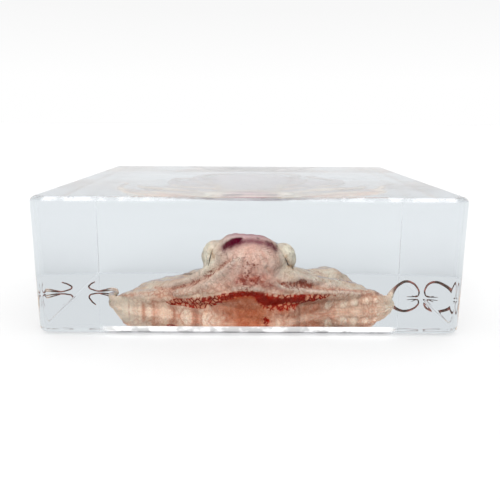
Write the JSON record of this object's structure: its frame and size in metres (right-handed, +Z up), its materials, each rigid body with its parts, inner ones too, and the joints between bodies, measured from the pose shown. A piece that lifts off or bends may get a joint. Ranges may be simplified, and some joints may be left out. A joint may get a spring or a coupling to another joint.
{
  "type": "octopus in resin block",
  "caption": "Small dried octopus with spread, curling arms, sealed in a clear square resin block that rests flat on its base.",
  "frame": {"origin": "middle of the block's base", "axes": "+Z up through the block; the octopus faces -Y, with its arms spread along X and its mantle towards +Y"},
  "size_m": [0.075, 0.075, 0.0244],
  "materials": {
    "skin": "preserved skin, satin",
    "resin": "clear, polished"
  },
  "bodies": {
    "root": {"octopus": "skin", "resin_lower": "resin", "resin_upper": "resin"}
  },
  "joints": []
}
